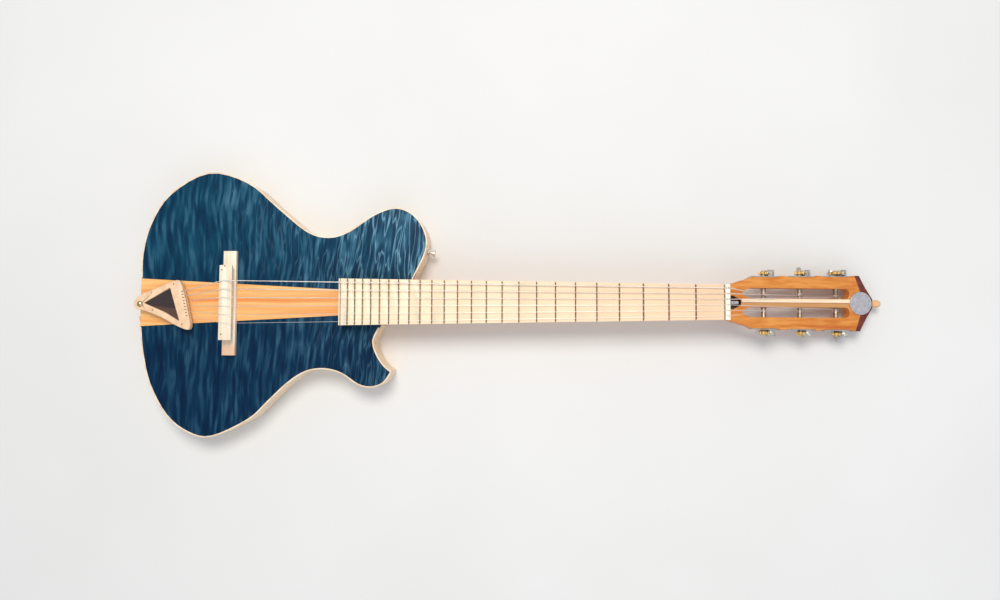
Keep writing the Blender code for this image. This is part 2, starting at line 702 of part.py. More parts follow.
def make_gear(index, side, seat, brass):
    """Roller and gear wheel, which turn together about the y axis."""
    foot = SLOT_INNER_Y - ROLLER_SEAT - seat
    base = GAP + PLATE_THICKNESS + GEAR_STANDOFF
    profile = [(ROLLER_RADIUS, foot), (ROLLER_RADIUS, base + GAP)]
    item = add_object("tuner_gear_%d" % (index + 1), turned(profile, 18, (0, 0, 0), (0, side, 0)), brass)
    gear = prism(gear_outline(), base, base + GEAR_WIDTH)
    turn = Matrix(((1, 0, 0, 0), (0, 0, side, 0), (0, 1, 0, 0), (0, 0, 0, 1)))
    bmesh.ops.transform(gear, matrix=turn, verts=gear.verts)
    combine(item, gear, "UNION")
    return item


def make_plate(index, side, metal):
    """Side plate with two lugs that carry the worm shaft, and two screw heads."""
    half = PLATE_WIDTH / 2
    outer = GAP + PLATE_THICKNESS

    def slab(low, high):
        ys = sorted((side * low[1], side * high[1]))
        return box((low[0], ys[0], low[2]), (high[0], ys[1], high[2]))

    plate = slab((-PLATE_FRONT, GAP, -half), (PLATE_REAR, outer, half))
    item = add_object("tuner_plate_%d" % (index + 1), plate, metal)
    worm_v = outer + GEAR_STANDOFF + GEAR_WIDTH / 2
    inner = WORM_LENGTH / 2 + GAP
    for sign in (1, -1):
        z = sorted((sign * inner, sign * (inner + LUG_THICKNESS)))
        low = (WORM_DISTANCE - LUG_HALF, outer - GAP / 2, z[0])
        high = (WORM_DISTANCE + LUG_HALF, worm_v + LUG_HALF, z[1])
        combine(item, slab(low, high), "UNION")
    reach = inner + LUG_THICKNESS + MM
    hole = WORM_SHAFT_RADIUS + HOLE_CLEARANCE
    bore = turned([(hole, -reach), (hole, reach)], 14, (WORM_DISTANCE, side * worm_v, 0))
    combine(item, bore, "DIFFERENCE")
    hole = ROLLER_RADIUS + ROLLER_CLEARANCE
    drill = turned([(hole, -MM), (hole, outer + MM)], 18, (0, 0, 0), (0, side, 0))
    combine(item, drill, "DIFFERENCE")
    head = dome(PLATE_SCREW_RADIUS, PLATE_SCREW_HEIGHT, outer - GAP / 2, 2)
    for x in (PLATE_SCREW_INSET - PLATE_FRONT, PLATE_REAR - PLATE_SCREW_INSET):
        combine(item, turned(head, 10, (x, 0, 0), (0, side, 0)), "UNION")
    return item


def make_gear_screw(index, side, brass):
    base = 2 * GAP + PLATE_THICKNESS + GEAR_STANDOFF + GEAR_WIDTH
    head = dome(GEAR_SCREW_RADIUS, GEAR_SCREW_HEIGHT, base, 3)
    screw = turned(head, 14, (0, 0, 0), (0, side, 0))
    return add_object("gear_screw_%d" % (index + 1), screw, brass)


def tuner_place(index):
    """Tuners 1 to 3 are on the treble side and 4 to 6 on the bass side, as the strings are."""
    row = min(index, 5 - index)
    return ROLLER_S[row], FLAT_HALVES[row], -1 if index < 3 else 1


def make_tuners(frame, nickel, brass, plate_metal):
    for index in range(6):
        s, seat, side = tuner_place(index)
        centre = Vector((s, side * seat, -ROLLER_DEPTH))
        worm_v = GAP + PLATE_THICKNESS + GEAR_STANDOFF + GEAR_WIDTH / 2
        pieces = [
            (make_plate(index, side, plate_metal), centre),
            (make_gear(index, side, seat, brass), centre),
            (make_gear_screw(index, side, brass), centre),
            (make_knob(index, nickel), centre + Vector((WORM_DISTANCE, side * worm_v, 0))),
        ]
        for item, place in pieces:
            item.location = place
            item.parent = frame


def winding(index, frame_matrix, start):
    """Points round the roller, from where the string first touches it."""
    s, _, side = tuner_place(index)
    diameter = STRING_DIAMETERS[index]
    radius = (ROLLER_RADIUS + GAP + diameter / 2) / math.cos(math.pi / WINDING_STEPS)
    local = frame_matrix.inverted() @ start
    across = local.x - s
    up = local.z + ROLLER_DEPTH
    first = math.atan2(across, up) + math.acos(radius / math.hypot(across, up))
    pitch = diameter + WINDING_GAP
    y_start = side * (INNER_WINDING_START_Y if index in (2, 3) else WINDING_START_Y)
    count = int(WINDING_TURNS * WINDING_STEPS)
    points = []
    for k in range(count + 1):
        angle = first + 2 * math.pi * k / WINDING_STEPS
        y = y_start + side * pitch * max(k - 1, 0) / WINDING_STEPS
        points.append(Vector((s + radius * math.sin(angle), y, -ROLLER_DEPTH + radius * math.cos(angle))))
    gaps = [
        (p - q).length - diameter
        for i, p in enumerate(points) for q in points[i + WINDING_STEPS // 2:]
    ]
    print("string %d: least gap between turns %.2f mm" % (index + 1, min(gaps) / MM))
    return [frame_matrix @ point for point in points]


def tail_hole(index):
    y = string_y(index, TAIL_SPACING, -2 * MM)
    z = BODY_DEPTH + TAILPIECE_LIFT + TAILPIECE_THICKNESS * 0.55
    return Vector((TAIL_EDGE_X + TAIL_EDGE_SLOPE * y, y, z))


def string_over_bridge(index):
    radius = STRING_DIAMETERS[index] / 2
    return Vector((SADDLE_CREST_X, string_y(index, BRIDGE_SPACING, -0.5 * MM), CREST_Z + GAP + radius))


def string_start(index):
    """The string's end, inside its hole in the tailpiece."""
    hole = tail_hole(index)
    direction = (string_over_bridge(index) - hole).normalized()
    return hole - direction * (STRING_HOLE_DEPTH - 2 * GAP)


def make_strings(frame, steel, bronze):
    matrix = Matrix.Translation(frame.location) @ Matrix.Rotation(HEAD_ANGLE, 4, "Y")
    for index, diameter in enumerate(STRING_DIAMETERS):
        radius = diameter / 2
        y = string_y(index, NUT_SPACING)
        z = FINGERBOARD_Z + NUT_ACTION + radius
        nut_back = Vector((NUT_BACK_X - 0.5 * MM, y, z))
        points = [string_start(index), string_over_bridge(index)]
        points += [Vector((SCALE_LENGTH, y, z)), nut_back]
        points += winding(index, matrix, nut_back)
        name = "string_%d" % (index + 1)
        curve = bpy.data.curves.new(name, "CURVE")
        curve.dimensions = "3D"
        curve.bevel_depth = radius
        curve.bevel_resolution = 1
        curve.use_fill_caps = True
        line = curve.splines.new("POLY")
        line.points.add(len(points) - 1)
        for slot, point in zip(line.points, points):
            slot.co = (*point, 1)
        curve.materials.append(bronze if diameter > 0.7 * MM else steel)
        item = bpy.data.objects.new(name, curve)
        bpy.context.collection.objects.link(item)


def make_bridge(wood, metal):
    low = BODY_DEPTH + GAP
    half = BRIDGE_WIDTH / 2
    foot_top = low + BRIDGE_THICKNESS
    riser_top = foot_top + RISER_HEIGHT
    ends = (BRIDGE_Y - BRIDGE_HALF_LENGTH, BRIDGE_Y + BRIDGE_HALF_LENGTH)
    base = add_object("bridge_base", box((-half, ends[0], low), (half, ends[1], foot_top)), wood)
    bevel_edges(base, MM, 2, lambda a, b: a.z > foot_top - GAP and b.z > foot_top - GAP)
    graph = bpy.context.evaluated_depsgraph_get()
    rounded = bpy.data.meshes.new_from_object(base.evaluated_get(graph))
    base.modifiers.clear()
    base.data = rounded
    riser = RISER_WIDTH / 2
    riser_low = (-riser, BRIDGE_Y - RISER_HALF_LENGTH, foot_top - MM)
    combine(base, box(riser_low, (riser, BRIDGE_Y + RISER_HALF_LENGTH, riser_top)), "UNION")
    wheel_low = riser_top + GAP
    saddle_low = wheel_low + WHEEL_THICKNESS + GAP
    saddle_half = SADDLE_WIDTH / 2
    roof = [
        (-saddle_half, saddle_low), (saddle_half, saddle_low),
        (saddle_half, saddle_low + SADDLE_WALL * 0.6), (SADDLE_CREST_X + MM, CREST_Z),
        (SADDLE_CREST_X - MM, CREST_Z), (-saddle_half, saddle_low + SADDLE_WALL),
    ]
    y_ends = (BRIDGE_Y - SADDLE_HALF_LENGTH, BRIDGE_Y + SADDLE_HALF_LENGTH)
    saddle = add_object("bridge_saddle", loft([[(x, y, z) for x, z in roof] for y in y_ends]), wood)
    for y, name in ((POST_Y, "bass"), (-POST_Y, "treble")):
        place = (0, BRIDGE_Y + y, 0)
        hole = POST_RADIUS + GAP
        foot = riser_top - POST_DEPTH
        head = saddle_low + POST_DEPTH
        combine(base, turned([(hole, foot - GAP), (hole, riser_top + MM)], 14, place), "DIFFERENCE")
        combine(saddle, turned([(hole, saddle_low - MM), (hole, head + GAP)], 14, place), "DIFFERENCE")
        wheel_top = wheel_low + WHEEL_THICKNESS
        profile = [
            (POST_RADIUS, foot), (POST_RADIUS, wheel_low), (WHEEL_RADIUS, wheel_low),
            (WHEEL_RADIUS, wheel_top), (POST_RADIUS, wheel_top), (POST_RADIUS, head),
        ]
        add_object("bridge_post_" + name, turned(profile, 20, place), metal)


def inset(points, distance):
    """Move each corner of a closed outline towards the outline's middle."""
    corners = [Vector(point) for point in points]
    middle = sum(corners, Vector((0, 0))) / len(corners)
    return [tuple(corner + (middle - corner).normalized() * distance) for corner in corners]


def make_tailpiece(wood, dark, brass):
    low = BODY_DEPTH + TAILPIECE_LIFT
    high = low + TAILPIECE_THICKNESS
    outline = closed_curve(millimetres(TAILPIECE_OUTLINE), 3)
    frame = add_object("tailpiece_frame", prism(outline, low, high), wood)
    window = millimetres(TAILPIECE_WINDOW)
    floor = high - PANEL_RECESS - PANEL_THICKNESS - GAP
    combine(frame, prism(window[::-1], floor, high + MM), "DIFFERENCE")
    panel = prism(inset(window, 4 * GAP)[::-1], floor + GAP, floor + GAP + PANEL_THICKNESS)
    add_object("tailpiece_panel", panel, dark)
    place = (TAIL_SCREW[0] * MM, TAIL_SCREW[1] * MM, 0)
    foot = [(TAIL_FOOT_RADIUS, BODY_DEPTH + GAP), (TAIL_FOOT_RADIUS * 0.9, low + MM)]
    combine(frame, turned(foot, 20, place), "UNION")
    hole = TAIL_SHANK_RADIUS + GAP
    combine(frame, turned([(hole, BODY_DEPTH), (hole, high + MM)], 14, place), "DIFFERENCE")
    for index in range(6):
        point = tail_hole(index)
        direction = (string_over_bridge(index) - point).normalized()
        start = point - direction * STRING_HOLE_DEPTH
        drill = [(STRING_HOLE_RADIUS, 0), (STRING_HOLE_RADIUS, 4 * STRING_HOLE_DEPTH)]
        combine(frame, turned(drill, 8, start, direction), "DIFFERENCE")
    shank = [(TAIL_SHANK_RADIUS, BODY_DEPTH + GAP), (TAIL_SHANK_RADIUS, high + GAP)]
    head = dome(TAIL_SCREW_RADIUS, 2.6 * MM, high + GAP)
    add_object("tailpiece_screw", turned(shank + head, 20, place), brass)


def make_strap_button(name, start, outward, metal):
    """A turned button: a foot, a waist for the strap and a round flange."""
    shape = [(0.92, 0), (0.92, 0.16), (0.5, 0.34), (0.46, 0.62), (1, 0.74), (1, 0.92), (0.7, 1)]
    profile = [(BUTTON_RADIUS * r, BUTTON_LENGTH * along) for r, along in shape]
    add_object(name, turned(profile, 18, start, outward), metal)


def edge_place(edge, y):
    """The outermost point of an outer edge at the height y, and the way out of it."""
    found = []
    for a, b in zip(edge, edge[1:]):
        if min(a[1], b[1]) <= y <= max(a[1], b[1]) and a[1] != b[1]:
            x = a[0] + (b[0] - a[0]) * (y - a[1]) / (b[1] - a[1])
            found.append((x, Vector((a[1] - b[1], b[0] - a[0])).normalized()))
    return max(found, key=lambda place: place[0])


def make_rim_hardware(nickel):
    bass = open_curve(millimetres(BASS_EDGE))
    x, outward = edge_place(bass, HORN_BUTTON_Y)
    start = (x + GAP * outward.x, HORN_BUTTON_Y + GAP * outward.y, RIM_Z)
    make_strap_button("horn_strap_button", start, (*outward, 0), nickel)
    make_strap_button("tail_strap_button", (TAIL_X - GAP, TAIL_BUTTON_Y, RIM_Z), (-1, 0, 0), nickel)


def make_jack(metal):
    """Threaded sleeve with a socket for a plug, and the hexagonal nut that clamps it."""
    place, outward = jack_place()
    seat = 2 * GAP
    end = seat + JACK_STANDOUT
    sleeve = [(JACK_SLEEVE_RADIUS, -JACK_SLEEVE_LENGTH), (JACK_SLEEVE_RADIUS, end)]
    item = add_object("output_jack", turned(sleeve, 16, place, outward), metal)
    clamp = [(JACK_NUT_RADIUS, seat), (JACK_NUT_RADIUS, seat + JACK_NUT_THICKNESS)]
    combine(item, turned(clamp, 6, place, outward), "UNION")
    socket = [(JACK_PLUG_RADIUS, JACK_END_WALL - JACK_SLEEVE_LENGTH), (JACK_PLUG_RADIUS, end + MM)]
    combine(item, turned(socket, 16, place, outward), "DIFFERENCE")


def main():
    remove_startup_objects()
    orange = make_material("orange yew", (0.78, 0.42, 0.15), 0.35)
    pale = make_material("pale rim wood", (0.75, 0.55, 0.36), 0.5)
    blue = make_material("blue stained maple", (0.02, 0.12, 0.24), 0.25)
    maple = make_material("maple", (0.88, 0.74, 0.52), 0.5)
    bone = make_material("bone", (0.9, 0.86, 0.72), 0.4)
    red = make_material("red heartwood", (0.26, 0.05, 0.03), 0.4)
    pearl = make_material("pearl", (0.6, 0.6, 0.65), 0.2)
    dark = make_material("dark wood", (0.08, 0.05, 0.05), 0.5)
    nickel = make_material("nickel", (0.75, 0.73, 0.7), 0.2, 1.0)
    brass = make_material("brass", (0.72, 0.5, 0.2), 0.3, 1.0)
    steel = make_material("steel", (0.6, 0.6, 0.6), 0.3, 1.0)
    bronze = make_material("bronze wound string", (0.72, 0.6, 0.45), 0.4, 1.0)
    make_body(pale, blue)
    make_neck(orange)
    make_truss_rod(steel)
    make_fingerboard(maple)
    make_nut(bone)
    frame = head_frame()
    make_headstock(frame, orange)
    make_truss_nut(frame, steel)
    make_tip(frame, red, maple, pearl, maple)
    make_tuners(frame, nickel, brass, nickel)
    make_strings(frame, steel, bronze)
    make_bridge(maple, brass)
    make_tailpiece(maple, dark, brass)
    make_rim_hardware(nickel)
    make_jack(nickel)


main()
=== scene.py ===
import math

import bpy
from mathutils import Euler, Matrix, Vector


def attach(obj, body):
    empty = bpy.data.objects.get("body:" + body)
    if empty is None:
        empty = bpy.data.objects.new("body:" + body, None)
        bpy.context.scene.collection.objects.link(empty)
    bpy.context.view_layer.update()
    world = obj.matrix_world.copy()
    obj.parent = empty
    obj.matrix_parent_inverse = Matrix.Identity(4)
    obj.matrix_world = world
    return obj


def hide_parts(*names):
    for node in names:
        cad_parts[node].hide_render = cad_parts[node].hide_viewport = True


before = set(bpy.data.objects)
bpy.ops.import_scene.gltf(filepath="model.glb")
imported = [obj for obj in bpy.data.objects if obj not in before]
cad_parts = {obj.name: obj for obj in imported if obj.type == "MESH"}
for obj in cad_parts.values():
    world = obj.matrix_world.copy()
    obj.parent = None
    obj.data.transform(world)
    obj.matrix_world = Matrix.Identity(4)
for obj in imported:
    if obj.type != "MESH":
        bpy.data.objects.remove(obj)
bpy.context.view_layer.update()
mm = 0.001


# Camera, light and floor

view = {
    "lens": 28.08,                          # on a 36 mm sensor
    "turn": (-3.0, -2.3, -0.05),            # degrees away from straight down
    "target": (360.26 * mm, 2.45 * mm, 60 * mm),
    "distance": 1007.5 * mm,
    "floorGap": 0.5 * mm,
    "keyPlace": (0.30, 0.95, 2.3),
    "keySize": 1.1,
    "keyPower": 38,
    "fillPlace": (0.9, -1.6, 1.9),
    "fillSize": 2.4,
    "fillPower": 14,
    "skyColour": (0.88, 0.93, 1.0),
    "skyStrength": 0.55,
}


def addLamp(name, place, aim, size, power, colour):
    data = bpy.data.lights.new(name, "AREA")
    data.shape = "DISK"
    data.size = size
    data.energy = power
    data.color = colour
    lamp = bpy.data.objects.new(name, data)
    bpy.context.scene.collection.objects.link(lamp)
    lamp.location = place
    lamp.rotation_euler = (Vector(aim) - Vector(place)).to_track_quat("-Z", "Y").to_euler()


def setStage():
    turn = Euler([math.radians(a) for a in view["turn"]]).to_matrix().transposed()
    data = bpy.data.cameras.new("photoCamera")
    data.lens = view["lens"]
    camera = bpy.data.objects.new("photoCamera", data)
    bpy.context.scene.collection.objects.link(camera)
    place = Vector(view["target"]) + turn @ Vector((0, 0, view["distance"]))
    camera.matrix_world = Matrix.Translation(place) @ turn.to_4x4()
    bpy.context.scene.camera = camera
    bpy.context.scene.view_settings.view_transform = "Standard"  # full, plain colours
    aim = view["target"]
    addLamp("keyLamp", view["keyPlace"], aim, view["keySize"], view["keyPower"], (1.0, 0.96, 0.9))
    addLamp("fillLamp", view["fillPlace"], aim, view["fillSize"], view["fillPower"], (0.92, 0.95, 1.0))
    world = bpy.data.worlds.new("studio")
    world.use_nodes = True
    sky = world.node_tree.nodes["Background"]
    sky.inputs["Color"].default_value = (*view["skyColour"], 1)
    sky.inputs["Strength"].default_value = view["skyStrength"]
    bpy.context.scene.world = world
    bpy.ops.mesh.primitive_plane_add(size=8, location=(aim[0], aim[1], -view["floorGap"]))
    floor = bpy.context.object
    floor.name = "paleFloor"
    floor.data.materials.append(paleFloor())


# Shader maths

class Signal:  # one shader output, so that patterns read as sums
    def __init__(self, tree, socket):
        self.tree = tree
        self.socket = socket

    def calc(self, operation, first, second=None, clamp=False):
        node = self.tree.nodes.new("ShaderNodeMath")
        node.operation = operation
        node.use_clamp = clamp
        plug(self.tree, node.inputs[0], first)
        plug(self.tree, node.inputs[1], second)
        return Signal(self.tree, node.outputs[0])

    def __add__(self, other):
        return self.calc("ADD", self, other)

    def __radd__(self, other):
        return self.calc("ADD", other, self)

    def __sub__(self, other):
        return self.calc("SUBTRACT", self, other)

    def __rsub__(self, other):
        return self.calc("SUBTRACT", other, self)

    def __mul__(self, other):
        return self.calc("MULTIPLY", self, other)

    def __rmul__(self, other):
        return self.calc("MULTIPLY", other, self)

    def __truediv__(self, other):
        return self.calc("DIVIDE", self, other)

    def __pow__(self, other):
        return self.calc("POWER", self, other)

    def __gt__(self, other):
        return self.calc("GREATER_THAN", self, other)

    def __lt__(self, other):
        return self.calc("LESS_THAN", self, other)

    def size(self):
        return self.calc("ABSOLUTE", self)

    def clamped(self):
        return self.calc("ADD", self, 0, clamp=True)

    def rise(self, low, high):  # 0 below low, 1 above high
        return ((self - low) / (high - low)).clamped()


def plug(tree, fretShadeBand, value):
    if isinstance(value, Signal):
        tree.links.new(value.socket, fretShadeBand)
    elif value is not None:
        fretShadeBand.default_value = value


def shade(red, green, blue):  # a screen colour, 0 to 255, as the shader's linear colour
    def linear(level):
        level = level / 255
        return level / 12.92 if level < 0.04045 else ((level + 0.055) / 1.055) ** 2.4

    return (linear(red), linear(green), linear(blue), 1)


class Finish:  # a material under construction
    def __init__(self, name, **constants):
        self.material = bpy.data.materials.new(name)
        self.material.use_nodes = True
        self.tree = self.material.node_tree
        self.shader = self.tree.nodes["Principled BSDF"]
        for key, value in constants.items():
            self.shader.inputs[socketNames[key]].default_value = value
        self.place = self.node("ShaderNodeTexCoord", out="Object")

    def node(self, kind, settings=None, inputs=None, out=0):
        item = self.tree.nodes.new(kind)
        for key, value in (settings or {}).items():
            if key == "stops":
                setStops(item.color_ramp, value)
            else:
                setattr(item, key, value)
        for key, value in (inputs or {}).items():
            plug(self.tree, item.inputs[key], value)
        return Signal(self.tree, item.outputs[out])

    def millimetres(self, stretch=(1, 1, 1), turn=0):  # turn in degrees about Z
        inputs = {"Vector": self.place, "Scale": [s / mm for s in stretch]}
        inputs["Rotation"] = (0, 0, math.radians(turn))
        return self.node("ShaderNodeMapping", {}, inputs)

    def axes(self, vector):
        split = self.tree.nodes.new("ShaderNodeSeparateXYZ")
        plug(self.tree, split.inputs[0], vector)
        return [Signal(self.tree, output) for output in split.outputs]

    def vector(self, x, y, z):
        return self.node("ShaderNodeCombineXYZ", {}, {"X": x, "Y": y, "Z": z})

    def noise(self, vector, width, detail=2.0, rough=0.5, twist=0.0):  # width of a feature
        inputs = {"Vector": vector, "Scale": 1 / width, "Detail": detail}
        inputs["Roughness"] = rough
        inputs["Distortion"] = twist
        return self.node("ShaderNodeTexNoise", {}, inputs)

    def blend(self, mask, first, second):
        item = self.tree.nodes.new("ShaderNodeMix")
        item.data_type = "RGBA"
        plug(self.tree, item.inputs[0], mask)
        plug(self.tree, item.inputs[6], first)
        plug(self.tree, item.inputs[7], second)
        return Signal(self.tree, item.outputs[2])

    def ramp(self, mask, *stops):
        return self.node("ShaderNodeValToRGB", {"stops": stops}, {"Fac": mask}, "Color")

    def set(self, colour, roughness=None, height=None, strength=0.3, depth=0.2 * mm):
        plug(self.tree, self.shader.inputs["Base Color"], colour)
        plug(self.tree, self.shader.inputs["Roughness"], roughness)
        if height is not None:
            inputs = {"Height": height, "Strength": strength, "Distance": depth}
            bump = self.node("ShaderNodeBump", {}, inputs)
            plug(self.tree, self.shader.inputs["Normal"], bump)
        return self.material


socketNames = {
    "roughness": "Roughness", "metallic": "Metallic", "coat": "Coat Weight",
    "coatRoughness": "Coat Roughness", "specular": "Specular IOR Level",
}


def setStops(ramp, stops):
    while len(ramp.elements) < len(stops):
        ramp.elements.new(1.0)
    for element, (place, colour) in zip(ramp.elements, stops):
        element.position = place
        element.color = colour


# Materials

def paleFloor():
    m = Finish("paleFloor", roughness=0.75, specular=0.2)
    cloud = m.noise(m.millimetres(), 400, 3)
    grit = m.noise(m.millimetres(), 2.5, 2)
    colour = m.ramp(cloud, (0.3, shade(226, 225, 222)), (0.7, shade(232, 231, 229)))
    return m.set(colour, height=grit, strength=0.05)


def stainedMaple():
    m = Finish("stainedMaple", roughness=0.3, coat=0.03, coatRoughness=0.2, specular=0.08)
    x, y, z = m.axes(m.millimetres())
    drift = m.noise(m.vector(x * 0.5, y * 0.5, z), 40, 1) - 0.5
    lean = x - y * 0.1 * x.rise(-40, 140) + drift * 14
    curl = m.noise(m.vector(lean, y * 0.13, z), 4.8, 1.2, 0.4, 0.1)
    veins = m.noise(m.vector(lean + 80, y * 0.13, z), 7, 1.2, 0.5, 0.15)
    fine = m.noise(m.vector(lean, y * 0.08, z), 1.2, 3, 0.6)
    ridge = (1 - ((veins - 0.5) * 13).size()).clamped()
    patch = m.noise(m.vector(x, y, z), 38, 2).rise(0.38, 0.62)
    bassSide = y.rise(-60, 70)
    hornSide = (x + y * 0.5).rise(20, 260)
    deep = m.blend(bassSide, shade(4, 32, 60), shade(7, 46, 72))
    mid = m.blend(bassSide, shade(9, 52, 80), shade(16, 72, 98))
    body = m.blend(curl.rise(0.34, 0.64), deep, mid)
    pale = m.blend(hornSide, shade(78, 120, 140), shade(126, 182, 208))
    streak = curl.rise(0.52, 0.72) * (0.3 + patch * 0.6 - hornSide * 0.25)
    streak = streak + ridge ** 3 * (0.02 + patch * 0.1 + hornSide * 0.95)
    streak = streak * (0.5 + hornSide * 0.2) * (0.62 + bassSide * 0.38)
    colour = m.blend(streak.clamped(), body, pale)
    colour = m.blend((0.5 - fine).clamped() * 0.9, colour, shade(3, 22, 50))
    return m.set(colour, 0.26 + fine * 0.12, height=fine * 0.4 + curl, strength=0.05)


def yew(name, light, dark, red, splineShadow=None, vein=None):
    m = Finish(name, roughness=0.38, coat=0.1, coatRoughness=0.2, specular=0.25)
    x, y, z = m.axes(m.millimetres())
    sway = m.noise(m.vector(x * 0.25, y, z), 26, 2) - 0.5
    rings = m.noise(m.vector(x * 0.012, y + sway * 9, z), 4.2, 3, 0.6)
    fibre = m.noise(m.vector(x * 0.03, y, z), 0.7, 3, 0.6)
    broad = m.noise(m.vector(x * 0.05, y + sway * 6, z), 13, 2)
    colour = m.blend(rings.rise(0.38, 0.68), light, dark)
    colour = m.blend(broad.rise(0.52, 0.75) * 0.75, colour, red)
    if vein:
        core = (1 - ((y - vein["middle"] + sway * 5) / vein["half"]).size()).clamped()
        colour = m.blend(core * broad.rise(0.3, 0.5), colour, vein["colour"])
    # Painted shadow of the raised cream spline: a tan band along its treble side on the headstock
    # face.
    if splineShadow:
        shadowBand = (y < 0.3) * (y > -5.4) * (x > splineShadow["start"]) * (x < splineShadow["end"])
        colour = m.blend(shadowBand * 0.85, colour, splineShadow["colour"])
    colour = m.blend((0.5 - fibre).clamped() * 0.8, colour, dark)
    return m.set(colour, 0.34 + rings * 0.12, height=fibre, strength=0.06)


def paleWood(name, light, dark, grain=5.0, stretch=(0.04, 1, 1), gloss=0.45, endShade=None):
    m = Finish(name, roughness=gloss, coat=0.1, coatRoughness=0.3)
    lines = m.noise(m.millimetres(stretch), grain, 3, 0.6, 0.2)
    pores = m.noise(m.millimetres([0.3 * s for s in stretch]), 0.25, 2, 0.6)
    cloud = m.noise(m.millimetres(), 45, 2)
    colour = m.blend(lines.rise(0.35, 0.7), light, dark)
    colour = m.blend(cloud.rise(0.4, 0.8) * 0.35, colour, dark)
    # Painted shade: below the given y the colour blends towards the given darker colour.
    if endShade:
        x, y, z = m.axes(m.millimetres())
        colour = m.blend((endShade["from"] - y).rise(0, endShade["length"]) * 0.8, colour, endShade["colour"])
    colour = m.blend(pores.rise(0.62, 0.72) * 0.4, colour, [c * 0.55 for c in dark[:3]] + [1])
    return m.set(colour, gloss + lines * 0.1, height=pores, strength=0.08)


frets = {
    "scale": 648,        # millimetres
    "perOctave": 12,
}


def pastFret(m, x):  # millimetres past the nearest fret, towards the nut
    octaves = m.node("ShaderNodeMath", {"operation": "LOGARITHM"}, {0: x / frets["scale"], 1: 0.5})
    number = octaves * frets["perOctave"]
    nearest = m.node("ShaderNodeMath", {"operation": "ROUND"}, {0: number})
    return (nearest - number) * x * (math.log(2) / frets["perOctave"])


def boardMaple():
    m = Finish("boardMaple", roughness=0.42, coat=0.15, coatRoughness=0.25)
    x, y, z = m.axes(m.millimetres())
    # Painted shade on the tail side of each fret: a dark band up to 1.8 mm from the fret. Where a 25th
    # fret would sit, the same band draws a plain dark line.
    fretShadeBand = (pastFret(m, x) + 0.9).size()
    lines = m.noise(m.vector(x * 0.02, y, z), 3.4, 3, 0.6)
    pores = m.noise(m.vector(x * 0.2, y, z), 0.5, 2, 0.6)
    along = x.rise(150, 640)
    colour = m.blend(along, shade(252, 234, 200), shade(250, 210, 172))
    colour = m.blend(lines.rise(0.45, 0.75) * 0.4, colour, shade(232, 198, 158))
    colour = m.blend((1 - fretShadeBand.rise(0.5, 0.9)) * 0.8, colour, shade(112, 80, 52))
    colour = m.blend(pores.rise(0.6, 0.7) * 0.25, colour, shade(204, 168, 126))
    return m.set(colour, height=pores, strength=0.06)


def fretWire():  # painted shade on the tail-side half of the crown, painted highlight on the nut-side half
    m = Finish("fretWire", metallic=0.6)
    x, y, z = m.axes(m.millimetres())
    scratch = m.noise(m.vector(x, y * 0.2, z), 0.5, 2)
    colour = m.blend(pastFret(m, x).rise(0.1, 0.5), shade(118, 88, 62), shade(255, 240, 214))
    return m.set(colour, 0.3 + scratch * 0.1, height=scratch, strength=0.04)


def metal(name, light, dark, gloss=0.22, smudge=9.0):
    m = Finish(name, metallic=1.0)
    cloud = m.noise(m.millimetres(), smudge, 3, 0.6)
    scratch = m.noise(m.millimetres((1, 0.15, 1)), 0.5, 2)
    colour = m.blend(cloud.rise(0.35, 0.7), light, dark)
    return m.set(colour, gloss + cloud * 0.18 + scratch * 0.06, height=scratch, strength=0.04)


def woundSteel():
    m = Finish("woundSteel", metallic=1.0, roughness=0.34)
    x, y, z = m.axes(m.millimetres())
    wrap = m.node("ShaderNodeMath", {"operation": "SINE"}, {0: (x + z * 0.5) * 15})
    tarnish = m.noise(m.millimetres((0.2, 1, 1)), 5, 3)
    colour = m.blend(tarnish.rise(0.35, 0.7), shade(255, 250, 244), shade(236, 226, 218))
    # Painted shade in the grooves between the windings.
    colour = m.blend((wrap * -0.4).clamped(), colour, shade(170, 156, 148))
    return m.set(colour, 0.3 + tarnish * 0.15, height=wrap, strength=0.5, depth=0.05 * mm)


def pearl():
    m = Finish("pearl", roughness=0.16, coat=0.6, coatRoughness=0.08, specular=0.6)
    cloud = m.noise(m.millimetres(), 5.5, 3, 0.6, 1.2)
    flow = m.noise(m.millimetres((1, 0.35, 1), 35), 3.0, 2, 0.5, 0.8)
    colour = m.blend(cloud.rise(0.35, 0.65), shade(178, 176, 180), shade(158, 158, 164))
    colour = m.blend(flow.rise(0.5, 0.72) * 0.6, colour, shade(200, 192, 194))
    return m.set(colour, 0.12 + cloud * 0.12, height=flow, strength=0.03)


def bone():
    m = Finish("bone", roughness=0.32, coat=0.3, coatRoughness=0.2)
    cloud = m.noise(m.millimetres((1, 0.4, 1)), 6, 3)
    specks = m.noise(m.millimetres(), 0.5, 2)
    colour = m.blend(cloud.rise(0.35, 0.7), shade(255, 250, 232), shade(252, 238, 212))
    colour = m.blend(specks.rise(0.64, 0.72) * 0.3, colour, shade(206, 178, 138))
    return m.set(colour, 0.26 + cloud * 0.12, height=specks, strength=0.04)


def darkInset():
    m = Finish("darkInset", roughness=0.5, specular=0.25)
    x, y, z = m.axes(m.millimetres())
    # Painted shadow of the upper arm: the panel is darker above a line and lighter below it.
    outOfArmShadow = (y + x * 0.12 + 17.4).rise(0.6, -0.6)
    grain = m.noise(m.vector(x * 0.15, y, z), 2.2, 3)
    colour = m.blend(outOfArmShadow, shade(60, 48, 50), shade(92, 68, 56))
    colour = m.blend(grain.rise(0.45, 0.75) * 0.5, colour, shade(36, 28, 32))
    return m.set(colour, 0.42 + grain * 0.15, height=grain, strength=0.08)


# Shaping

def alone(piece):
    bpy.ops.object.select_all(action="DESELECT")
    piece.select_set(True)
    bpy.context.view_layer.objects.active = piece


merging = {
    "distance": 0.002 * mm,
    "flatTo": 0.5,          # degrees
}


